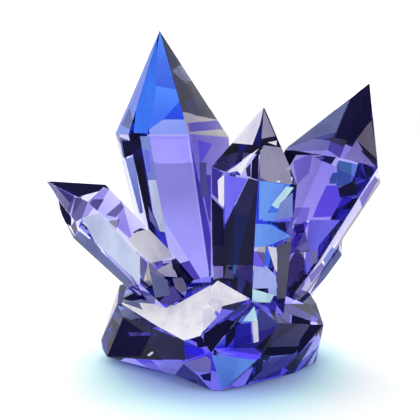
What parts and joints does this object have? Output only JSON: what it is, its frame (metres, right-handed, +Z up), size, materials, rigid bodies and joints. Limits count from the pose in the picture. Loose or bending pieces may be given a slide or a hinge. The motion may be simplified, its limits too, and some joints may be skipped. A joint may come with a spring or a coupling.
{
  "type": "violet crystal cluster",
  "caption": "Clear violet pointed crystals leaning apart from a low faceted foot, all grown together; stands free on its flat underside.",
  "frame": {"origin": "middle of the cluster's box in X and Y, on the ground plane z = 0 under its foot", "axes": "+Z up, -Y toward the front that the picture shows, +X toward the right-hand crystal"},
  "size_m": [0.1134, 0.0694, 0.113],
  "materials": {
    "violet crystal": "polished"
  },
  "bodies": {
    "root": {"crystal_cluster": "violet crystal"}
  },
  "joints": []
}
